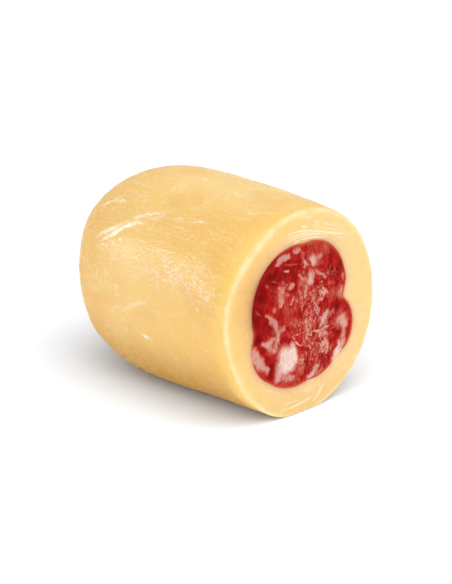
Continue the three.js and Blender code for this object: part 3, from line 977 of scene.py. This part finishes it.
def marbling(spots, bend, ragged):
    """Paleness and tone of the meat with its fat at each spot."""
    fat_spots, fibre_spots = (spots + wide * bend + fine * ragged for wide, fine in (FAT_SWAY, FIBRE_SWAY))
    layers = [(spot_cover(fat_spots, centre, spread), most, tone) for centre, spread, most, tone in HAZE]
    for where, rows in ((fat_spots, FAT), (fibre_spots, FIBRES_AND_GLINT)):
        for start, end, first, last, most, tone, softness in rows:
            cover = stretch_cover(where, start, end, first, last, FAT_SOFTER * softness)
            layers.append((cover, most, tone))
    pale = np.full(len(spots), MEAT_PALENESS)
    tones = np.zeros(len(spots))
    weight = np.full(len(spots), TINY)
    for cover, most, tone in layers:
        pale = np.maximum(pale, MEAT_PALENESS + (most - MEAT_PALENESS) * cover)
        tones += tone * (most * cover) ** TONE_POWER
        weight += (most * cover) ** TONE_POWER
    return pale, tones / weight


def scattered(singles, clusters, seed, radius):
    """Rows of small marks, single ones and those of the clusters, all of one radius and full strength."""
    draw = random.Random(seed)
    places = list(singles)
    for (across, up), spread, count in clusters:
        places += [(draw.gauss(across, spread), draw.gauss(up, spread)) for _ in range(count)]
    return [(place, radius, 1.0) for place in places]


def patches(spots, rows):
    """Strength of patches, each with its centre, its spread and its most."""
    strength = np.zeros(len(spots))
    for centre, spread, most in rows:
        strength = np.maximum(strength, most * spot_cover(spots, centre, spread))
    return strength


def grain_of_meat(spots):
    """Places across and along the grain, upright in the middle and along the outline outside it."""
    across, up = spots.T
    reach = np.maximum(np.hypot(across, up), TINY)
    outer = smoothstep(*GRAIN_TURNS, np.abs(across))
    across_grain = (1 - outer) * across + outer * np.sign(across) * reach
    return across_grain, (1 - outer) * up + outer * reach * np.arcsin(up / reach)


# Painted glints, and small holes in the meat
def glints_and_pits(spots, ragged):
    glint_rows = scattered(GLINT_SPECKS, GLINT_CLUSTERS, GLINT_SEED, GLINT_RADIUS)
    pit_rows = scattered(PITS, PIT_CLUSTERS, PIT_SEED, PIT_RADIUS)
    return patches(spots + GLINT_SWAY * ragged, glint_rows), patches(spots + PIT_SWAY * ragged, pit_rows)


def salami_filling(material):
    bm = station_sheet(SALAMI_RINGS, SALAMI_SIDES)
    station, turn = station_and_turn(bm, SALAMI_RINGS)
    points = place_salami(station, turn)
    on_face = 1 - smoothstep(*MEAT_FACE_ENDS, station)
    spots = points[:, 1:] - np.array([0, SALAMI_HEIGHT])
    from_edge = salami_radius(turn) - np.linalg.norm(spots, axis=1)
    flat = np.column_stack([spots, np.zeros(len(spots))])
    bend = sway(flat, *BENDS)
    ragged = sway(flat, *RAGGED_BITS)

    pale, tone = marbling(spots, bend, ragged)
    fat = smoothstep(*FAT_FROM, pale)
    mottled = patches(spots, MOTTLED) * (1 - smoothstep(*MOTTLED_UNTIL, pale))
    pale += mottled * noise_layers(flat, CLUMPS)
    glints, pits = glints_and_pits(spots, ragged)
    across_grain, along_grain = grain_of_meat(spots + GRAIN_BEND * bend)

    relief = (1 - fat) * noise_layers(flat, MEAT_GRAIN) + FAT_RISE * fat
    relief += GLINT_RISE * glints - PIT_DEPTH * pits
    relief *= on_face * smoothstep(0, EDGE_CALM, from_edge)
    lean = math.radians(CUT_LEAN_DEG)
    move_verts(bm, points + relief[:, None] * np.array([math.cos(lean), 0, math.sin(lean)]))

    attributes = {
        "pale": MEAT_PALENESS + (pale - MEAT_PALENESS) * on_face,
        "tone": tone * on_face,
        "grain": GRAIN_LEAST + (GRAIN_MOST - GRAIN_LEAST) * mottled,
        "dark": patches(spots, DARK),
        # Painted glints on the meat
        "painted_glint": glints * on_face,
        "pit": pits * on_face,
        "casing": smoothstep(CASING_WIDTH, 0, from_edge) * (1 - CASING_HIDDEN * fat * on_face),
        "casing_bright": turn_spots(turn, CASING_BRIGHT),
        "across_grain": MM * across_grain,
        "along_grain": MM * along_grain,
    }
    finished_piece("salami_filling", "salami", bm, attributes, material)


# Material helpers

def new_material(name, values):
    """Material with the given values on its shader."""
    material = bpy.data.materials.new(name)
    material.use_nodes = True
    tree = material.node_tree
    shader = tree.nodes["Principled BSDF"]
    for key, value in values.items():
        shader.inputs[key].default_value = value
    return material, tree, shader


def add_node(tree, kind, inputs, **settings):
    made = tree.nodes.new(kind)
    for key, value in settings.items():
        setattr(made, key, value)
    for key, value in inputs.items():
        if isinstance(value, bpy.types.NodeSocket):
            tree.links.new(value, made.inputs[key])
        else:
            made.inputs[key].default_value = value
    return made


def attribute(tree, name):
    return add_node(tree, "ShaderNodeAttribute", {}, attribute_name=name).outputs["Fac"]


def scaled_coordinates(tree, scale):
    coordinates = add_node(tree, "ShaderNodeTexCoord", {}).outputs["Object"]
    return add_node(tree, "ShaderNodeMapping", {"Vector": coordinates, "Scale": scale}).outputs["Vector"]


def noise_texture(tree, vector, feature, detail=2.0, roughness=0.5):
    """Noise with features about that many millimetres across."""
    inputs = {"Vector": vector, "Scale": 1 / (feature * MM), "Detail": detail, "Roughness": roughness}
    return add_node(tree, "ShaderNodeTexNoise", inputs).outputs["Fac"]


def mixed(tree, factor, first, second):
    mix = add_node(tree, "ShaderNodeMix", {0: factor, 6: first, 7: second}, data_type="RGBA")
    return mix.outputs[2]


def ranged(tree, value, low, high, to_low=0.0, to_high=1.0, ease="SMOOTHSTEP"):
    inputs = {"Value": value, "From Min": low, "From Max": high, "To Min": to_low, "To Max": to_high}
    return add_node(tree, "ShaderNodeMapRange", inputs, interpolation_type=ease).outputs["Result"]


def maths(tree, operation, first, second):
    return add_node(tree, "ShaderNodeMath", {0: first, 1: second}, operation=operation).outputs["Value"]


def times(tree, first, second):
    return maths(tree, "MULTIPLY", first, second)


def tinted(tree, colour, tints):
    """Colour with tints laid over it in turn, each by the share of an attribute or a node."""
    for share, tint in tints:
        factor = attribute(tree, share) if isinstance(share, str) else share
        colour = mixed(tree, factor, colour, tint)
    return colour


def bump_normal(tree, shader, height, strength, depth):
    """Bump of the height, which is depth millimetres from lowest to highest."""
    inputs = {"Strength": strength, "Distance": depth * MM, "Height": height}
    bump = add_node(tree, "ShaderNodeBump", inputs)
    tree.links.new(bump.outputs["Normal"], shader.inputs["Normal"])


def soft_edge_gloss(tree, shader):
    """Specular level that fades where the surface turns away, as on a waxy skin."""
    turned = add_node(tree, "ShaderNodeLayerWeight", {"Blend": 0.5}).outputs["Facing"]
    tree.links.new(ranged(tree, turned, *GLOSS_FADE), shader.inputs["Specular IOR Level"])


def screen_colour(red, green, blue):
    """Linear colour with alpha from an 8-bit screen colour."""
    def linear(value):
        share = value / 255
        return share / 12.92 if share <= 0.04045 else ((share + 0.055) / 1.055) ** 2.4
    return (linear(red), linear(green), linear(blue), 1.0)


# Colours of the cheese
SKIN_NEAR = screen_colour(243, 193, 102)
SKIN_FAR = screen_colour(244, 204, 123)
# Painted light of the skin's top
SKIN_TOP_LIT = screen_colour(249, 208, 128)
SKIN_BLOTCH = screen_colour(238, 186, 100)
SKIN_STREAK = screen_colour(250, 220, 158)
SKIN_BAND = screen_colour(251, 207, 108)
# Painted shade of the skin's underside, near the floor
SKIN_UNDER_SHADE = screen_colour(209, 157, 70)
SKIN_TIP = screen_colour(234, 180, 90)
# Painted highlight along the rim of the cut
RIM_HIGHLIGHT = screen_colour(255, 240, 196)
# White of dry marks and smears, also of the painted highlight on the flank
DRY_WHITE_AND_SHEEN = screen_colour(255, 247, 228)
FACE_LEFT = screen_colour(248, 205, 117)
FACE_RIGHT = screen_colour(249, 210, 136)
FACE_LIGHT = screen_colour(252, 217, 148)
# Painted shade of the cut face near the floor
FACE_LOW_SHADE = screen_colour(238, 196, 124)
# Stain of the filling, with painted shade where the cheese meets the salami on the left
FACE_STAIN_AND_SHADE = screen_colour(214, 154, 92)
FACE_HALO = screen_colour(246, 208, 156)
# Painted shade in the joint at the salami's left edge
FACE_EDGE_SHADE = screen_colour(168, 80, 48)
FACE_EDGE_ORANGE = screen_colour(216, 122, 80)
DRAG_PALE = screen_colour(255, 241, 204)

# Patterns of the cheese: sizes in millimetres, how drawn out they are, and the ranges of noise that show
PLAIN = (1, 1, 1)
BLOTCH_SIZE = 14.0
BLOTCHES_SKIN = (0.45, 0.7, 0, 0.6)
BLOTCHES_FACE = (0.45, 0.7, 0, 0.35)
STREAK_SIZE = 1.3
STREAK_DRAWN = (0.1, 1, 1)
STREAKS_SHOWN = (0.48, 0.72)
STREAKS_BY_HEIGHT = (0, 1, 0.18, 0.42)
FLECK_SIZE = 1.1
FLECK_DRAWN = (0.5, 1, 1)
FLECK_ROUGHNESS = 0.6
FLECKS_SHOWN = (0.48, 0.68)
FLECKS_TO_STREAKS = 0.8
FLECKS_IN_SMEARS = (0.5, 0.66)
FLECKS_IN_MARKS = (0.4, 0.6, 0.45, 1)
PEBBLE_SIZE = 0.95
SHADED_EDGE_FROM = (0.5, 0.95)
DRAG_SHOWN = 0.82
RIM_HIGHLIGHT_SHOWN = 0.8
# Surface of the cheese: relief in millimetres and its shares, roughness by blotch, and gloss by facing
SKIN_RELIEF = 0.15
STREAK_RELIEF = 0.5
RELIEF_TO_CUT = (0, 1, 1, 0.2)
RELIEF_TO_PEBBLED = (0, 1, 1, 3.8)
ROUGHNESS_BY_BLOTCH = (0.3, 0.7, 0.24, 0.32)
ROUGHNESS_TO_PEBBLED = (0, 0.5, 1, 0.6)
GLOSS_FADE = (0.25, 0.75, 0.5, 0.06)
CHEESE_DEPTH = {
    "Subsurface Weight": 0.3,
    "Subsurface Radius": (1.0, 0.6, 0.2),
    "Subsurface Scale": 0.004,
}

# Colours of the salami
MEAT_DEEP = screen_colour(120, 0, 0)
MEAT_RED = screen_colour(156, 6, 6)
MEAT_BRIGHT = screen_colour(188, 30, 24)
FAT_TAN = screen_colour(208, 124, 88)
FAT_MAUVE = screen_colour(198, 152, 150)
# Painted glint of wet meat
GLINT_WHITE = screen_colour(255, 232, 216)
PIT_DARK = screen_colour(94, 2, 10)
# Casing under painted shadow, on its upper left
CASING_SHADED = screen_colour(120, 18, 8)
CASING_ORANGE = screen_colour(208, 96, 62)
# Steps from red meat to creamy fat: paleness at the start and end of each, and its colour
PALE_STEPS = (
    (0.28, 0.50, screen_colour(190, 84, 70)),
    (0.50, 0.64, screen_colour(202, 120, 104)),
    (0.64, 0.78, screen_colour(214, 152, 138)),
    (0.78, 0.90, screen_colour(228, 182, 168)),
    (0.90, 1.00, screen_colour(243, 215, 204)),
)
# Patterns of the meat: sizes in millimetres, how drawn out they are, and the ranges of noise that show
CLOUD_SIZE = 4.0
CLOUDS_BRIGHT = (0.36, 0.62)
CLOUDS_IN_DARK = (0.8, 0.45, 0.4, 1)
CLOUDS_IN_VEINS = (0.38, 0.55, 0.3, 2.2)
SINEW_SIZE = 1.6
SINEW_DRAWN = 2.5
SINEWS_DEEP = (0.44, 0.28, 0, 0.5)
SINEWS_BRIGHT = (0.54, 0.75, 0, 0.4)
SINEWS_IN_GRAIN = (0.3, 0.7, -0.7, 0.7)
CRUMB_SIZE = 1.3
CRUMBS_IN_GRAIN = (0.3, 0.7, -1, 1)
CRUMBS_IN_CASING = (0.35, 0.6, 0.45, 1)
SWIRL_SIZE = 2.6
SWIRL_DRAWN = 2.2
VEIN_EDGE = (0.05, 0)
VEIN_MEAN = 0.45
TONE_SHOWN = (0.4, 0.65, 0, 0.6)
GLINT_SHOWN = 0.6
# Surface of the meat: strength and depth of its fine relief, and its moist finish
MEAT_RELIEF = (0.35, 0.3)
MEAT_FINISH = {
    "Roughness": 0.3,
    "Specular IOR Level": 0.03,
    "Subsurface Weight": 0.1,
    "Subsurface Radius": (1.0, 0.3, 0.2),
    "Subsurface Scale": 0.001,
}


def skin_colour(tree, blotches, streaks, flecks):
    streaky = ranged(tree, attribute(tree, "streaky"), *STREAKS_BY_HEIGHT)
    flecky = times(tree, streaky, FLECKS_TO_STREAKS)
    return tinted(tree, SKIN_NEAR, (
        ("far", SKIN_FAR),
        # Painted light on top
        ("top", SKIN_TOP_LIT),
        ("tip", SKIN_TIP),
        (ranged(tree, blotches, *BLOTCHES_SKIN), SKIN_BLOTCH),
        (times(tree, ranged(tree, streaks, *STREAKS_SHOWN), streaky), SKIN_STREAK),
        (times(tree, ranged(tree, flecks, *FLECKS_SHOWN), flecky), SKIN_STREAK),
        ("band", SKIN_BAND),
        # Painted shade on the underside
        ("under", SKIN_UNDER_SHADE),
    ))


def face_colour(tree, blotches):
    # Where the stain is strongest, on the left, its orange edge turns to painted shade
    shaded_edge = ranged(tree, attribute(tree, "stain_and_shade"), *SHADED_EDGE_FROM)
    return tinted(tree, FACE_LEFT, (
        ("right", FACE_RIGHT),
        (ranged(tree, blotches, *BLOTCHES_FACE), FACE_LIGHT),
        # Painted shade towards the floor
        ("low", FACE_LOW_SHADE),
        # Stain and painted shade around the salami
        ("stain_and_shade", FACE_STAIN_AND_SHADE),
        ("halo", FACE_HALO),
        ("edge_stain_and_shade", mixed(tree, shaded_edge, FACE_EDGE_ORANGE, FACE_EDGE_SHADE)),
        (times(tree, attribute(tree, "drag"), DRAG_SHOWN), DRAG_PALE),
    ))


def dry_and_sheen_share(tree, flecks):
    """How white the smears and marks are, broken up into flecks; one smear is a painted highlight."""
    smear_and_sheen = times(tree, attribute(tree, "smear_and_sheen"), ranged(tree, flecks, *FLECKS_IN_SMEARS))
    mark = times(tree, attribute(tree, "dry"), ranged(tree, flecks, *FLECKS_IN_MARKS))
    return maths(tree, "MAXIMUM", smear_and_sheen, mark)


def waxy_surface(tree, shader, blotches, streaks, pebbles):
    """Fine relief, faint on the cut and strong where the skin is pebbled, under a soft gloss."""
    relief = maths(tree, "ADD", pebbles, times(tree, streaks, STREAK_RELIEF))
    relief = times(tree, relief, ranged(tree, attribute(tree, "cut"), *RELIEF_TO_CUT))
    relief = times(tree, relief, ranged(tree, attribute(tree, "pebbled"), *RELIEF_TO_PEBBLED))
    bump_normal(tree, shader, relief, 1.0, SKIN_RELIEF)
    smoother = ranged(tree, attribute(tree, "pebbled"), *ROUGHNESS_TO_PEBBLED)
    roughness = times(tree, ranged(tree, blotches, *ROUGHNESS_BY_BLOTCH), smoother)
    tree.links.new(roughness, shader.inputs["Roughness"])
    soft_edge_gloss(tree, shader)


def cheese_material():
    material, tree, shader = new_material("cheese_skin_and_cut", CHEESE_DEPTH)
    plain = scaled_coordinates(tree, PLAIN)
    blotches = noise_texture(tree, plain, BLOTCH_SIZE)
    pebbles = noise_texture(tree, plain, PEBBLE_SIZE)
    streaks = noise_texture(tree, scaled_coordinates(tree, STREAK_DRAWN), STREAK_SIZE)
    drawn = scaled_coordinates(tree, FLECK_DRAWN)
    flecks = noise_texture(tree, drawn, FLECK_SIZE, roughness=FLECK_ROUGHNESS)
    colour = tinted(tree, skin_colour(tree, blotches, streaks, flecks), (
        ("cut", face_colour(tree, blotches)),
        # Painted highlight along the rim
        (times(tree, attribute(tree, "rim"), RIM_HIGHLIGHT_SHOWN), RIM_HIGHLIGHT),
        # Dry marks and smears, one of them a painted highlight
        (dry_and_sheen_share(tree, flecks), DRY_WHITE_AND_SHEEN),
    ))
    tree.links.new(colour, shader.inputs["Base Color"])
    waxy_surface(tree, shader, blotches, streaks, pebbles)
    return material


def grain_coordinates(tree, stretch):
    """Coordinates that run with the grain of the meat, drawn out along it."""
    along = times(tree, attribute(tree, "along_grain"), 1 / stretch)
    inputs = {"X": attribute(tree, "across_grain"), "Y": along}
    return add_node(tree, "ShaderNodeCombineXYZ", inputs).outputs["Vector"]


def meat_colour(tree, clouds, sinews):
    dark = times(tree, attribute(tree, "dark"), ranged(tree, clouds, *CLOUDS_IN_DARK))
    return tinted(tree, MEAT_RED, (
        (ranged(tree, clouds, *CLOUDS_BRIGHT), MEAT_BRIGHT),
        (ranged(tree, sinews, *SINEWS_DEEP), MEAT_DEEP),
        (dark, MEAT_DEEP),
        (ranged(tree, sinews, *SINEWS_BRIGHT), MEAT_BRIGHT),
    ))


def fine_veins(tree, clouds):
    """Thin wandering lines of fat along the grain, broken off in places."""
    swirls = noise_texture(tree, grain_coordinates(tree, SWIRL_DRAWN), SWIRL_SIZE, roughness=0.6)
    from_middle = maths(tree, "SUBTRACT", swirls, 0.5)
    away = add_node(tree, "ShaderNodeMath", {0: from_middle}, operation="ABSOLUTE")
    lines = ranged(tree, away.outputs["Value"], *VEIN_EDGE)
    return times(tree, lines, ranged(tree, clouds, *CLOUDS_IN_VEINS))


def with_fat(tree, meat, sinews, crumbs, veins):
    """Fat in the meat: its paleness, broken up by the grain, runs through pink to cream."""
    grain = maths(tree, "SUBTRACT", veins, VEIN_MEAN)
    for pattern, shown in ((sinews, SINEWS_IN_GRAIN), (crumbs, CRUMBS_IN_GRAIN)):
        grain = maths(tree, "ADD", grain, ranged(tree, pattern, *shown, "LINEAR"))
    pale = maths(tree, "ADD", attribute(tree, "pale"), times(tree, attribute(tree, "grain"), grain))
    steps = [(ranged(tree, pale, low, high, ease="LINEAR"), shade) for low, high, shade in PALE_STEPS]
    shown = ranged(tree, pale, *TONE_SHOWN)
    for full, tint in ((-1, FAT_TAN), (1, FAT_MAUVE)):
        share = ranged(tree, attribute(tree, "tone"), 0, full, ease="LINEAR")
        steps.append((times(tree, shown, share), tint))
    return tinted(tree, meat, steps)


def salami_material():
    material, tree, shader = new_material("marbled_salami", MEAT_FINISH)
    plain = scaled_coordinates(tree, PLAIN)
    clouds = noise_texture(tree, plain, CLOUD_SIZE)
    grained = grain_coordinates(tree, SINEW_DRAWN)
    sinews = noise_texture(tree, grained, SINEW_SIZE, detail=3, roughness=0.55)
    crumbs = noise_texture(tree, plain, CRUMB_SIZE, detail=3, roughness=0.6)
    marbled = with_fat(tree, meat_colour(tree, clouds, sinews), sinews, crumbs, fine_veins(tree, clouds))
    casing = times(tree, attribute(tree, "casing"), ranged(tree, crumbs, *CRUMBS_IN_CASING))
    colour = tinted(tree, marbled, (
        # Casing: orange on its bright stretches, painted shadow on its upper left
        (casing, mixed(tree, attribute(tree, "casing_bright"), CASING_SHADED, CASING_ORANGE)),
        ("pit", PIT_DARK),
        # Painted glints
        (times(tree, attribute(tree, "painted_glint"), GLINT_SHOWN), GLINT_WHITE),
    ))
    tree.links.new(colour, shader.inputs["Base Color"])
    bump_normal(tree, shader, maths(tree, "ADD", crumbs, sinews), *MEAT_RELIEF)
    return material


# Stage, light and camera
FLOOR_HALF = 4.0
FLOOR_DROP = 0.0001
FLOOR_FINISH = {
    "Base Color": (0.442, 0.452, 0.463, 1.0),
    "Roughness": 0.9,
    "Specular IOR Level": 0.1,
    "Emission Color": (1, 1, 1, 1),
    "Emission Strength": 0.04,
}
WORLD_STRENGTH = 0.70
# Dome lights: azimuth, elevation and spread in degrees, and strength
FLOOR_LIGHT = (62, 40, 110, 7.5)
CEILING_LIGHT = (100, 65, 60, 1.05)
# Softboxes: azimuth and elevation in degrees, distance, width and height in metres, and watts
GLOSS_STRIP = (-44, 13, 0.9, 0.07, 0.19, 3.1)
LEFT_FILL = (-35, 42, 0.9, 0.3, 0.3, 0.75)
LIGHT_TARGET = Vector((0, 0, 0.05))
CAMERA_TARGET = Vector((0.0097, 0.0029, 0.0448))
CAMERA_AZIMUTH = 46.58
CAMERA_ELEVATION = 18.78
CAMERA_DISTANCE = 0.7957
CAMERA_LENS = 100.0
CAMERA_SENSOR = 36.0


def direction(azimuth, elevation):
    """Unit vector from the object towards a place at that azimuth and elevation, in degrees."""
    turn, rise = math.radians(azimuth), math.radians(elevation)
    return Vector((math.sin(turn) * math.cos(rise), -math.cos(turn) * math.cos(rise), math.sin(rise)))


def aimed_at(obj, place, target):
    obj.location = place
    obj.rotation_euler = (target - place).to_track_quat("-Z", "Y").to_euler()
    bpy.context.scene.collection.objects.link(obj)


def white_floor():
    bm = bmesh.new()
    bmesh.ops.create_grid(bm, x_segments=1, y_segments=1, size=FLOOR_HALF)
    bmesh.ops.translate(bm, vec=(0, 0, -FLOOR_DROP), verts=bm.verts[:])
    mesh = bpy.data.meshes.new("floor")
    bm.to_mesh(mesh)
    bm.free()
    mesh.materials.append(new_material("pale_floor", FLOOR_FINISH)[0])
    floor = bpy.data.objects.new("floor", mesh)
    bpy.context.scene.collection.objects.link(floor)
    return floor


def softbox(name, azimuth, elevation, distance, wide, tall, watts):
    light = bpy.data.lights.new(name, "AREA")
    light.shape = "RECTANGLE"
    light.size = wide
    light.size_y = tall
    light.energy = watts
    box = bpy.data.objects.new(name, light)
    aimed_at(box, LIGHT_TARGET + direction(azimuth, elevation) * distance, LIGHT_TARGET)
    return box


def dome_light(name, azimuth, elevation, spread_deg, strength):
    light = bpy.data.lights.new(name, "SUN")
    light.angle = math.radians(spread_deg)
    light.energy = strength
    dome = bpy.data.objects.new(name, light)
    aimed_at(dome, LIGHT_TARGET + direction(azimuth, elevation), LIGHT_TARGET)
    return dome


def light_only(dome, receiver):
    """Keeps a light to one object, on which the others still cast their shadows."""
    lit = bpy.data.collections.new(receiver.name + "_only")
    lit.objects.link(receiver)
    dome.light_linking.receiver_collection = lit


def studio_light(floor):
    world = bpy.data.worlds.new("studio")
    world.use_nodes = True
    background = world.node_tree.nodes["Background"]
    background.inputs["Color"].default_value = (1, 1, 1, 1)
    background.inputs["Strength"].default_value = WORLD_STRENGTH
    bpy.context.scene.world = world
    light_only(dome_light("floor_light", *FLOOR_LIGHT), floor)
    dome_light("ceiling_light", *CEILING_LIGHT)
    softbox("gloss_strip", *GLOSS_STRIP).visible_diffuse = False
    softbox("left_fill", *LEFT_FILL).visible_glossy = False
    bpy.context.scene.view_settings.view_transform = "Standard"


def photo_camera():
    data = bpy.data.cameras.new("camera")
    data.lens = CAMERA_LENS
    data.sensor_width = CAMERA_SENSOR
    camera = bpy.data.objects.new("camera", data)
    place = CAMERA_TARGET + direction(CAMERA_AZIMUTH, CAMERA_ELEVATION) * CAMERA_DISTANCE
    aimed_at(camera, place, CAMERA_TARGET)
    bpy.context.scene.camera = camera


photo_camera()
studio_light(white_floor())
cheese_log(cheese_material())
salami_filling(salami_material())
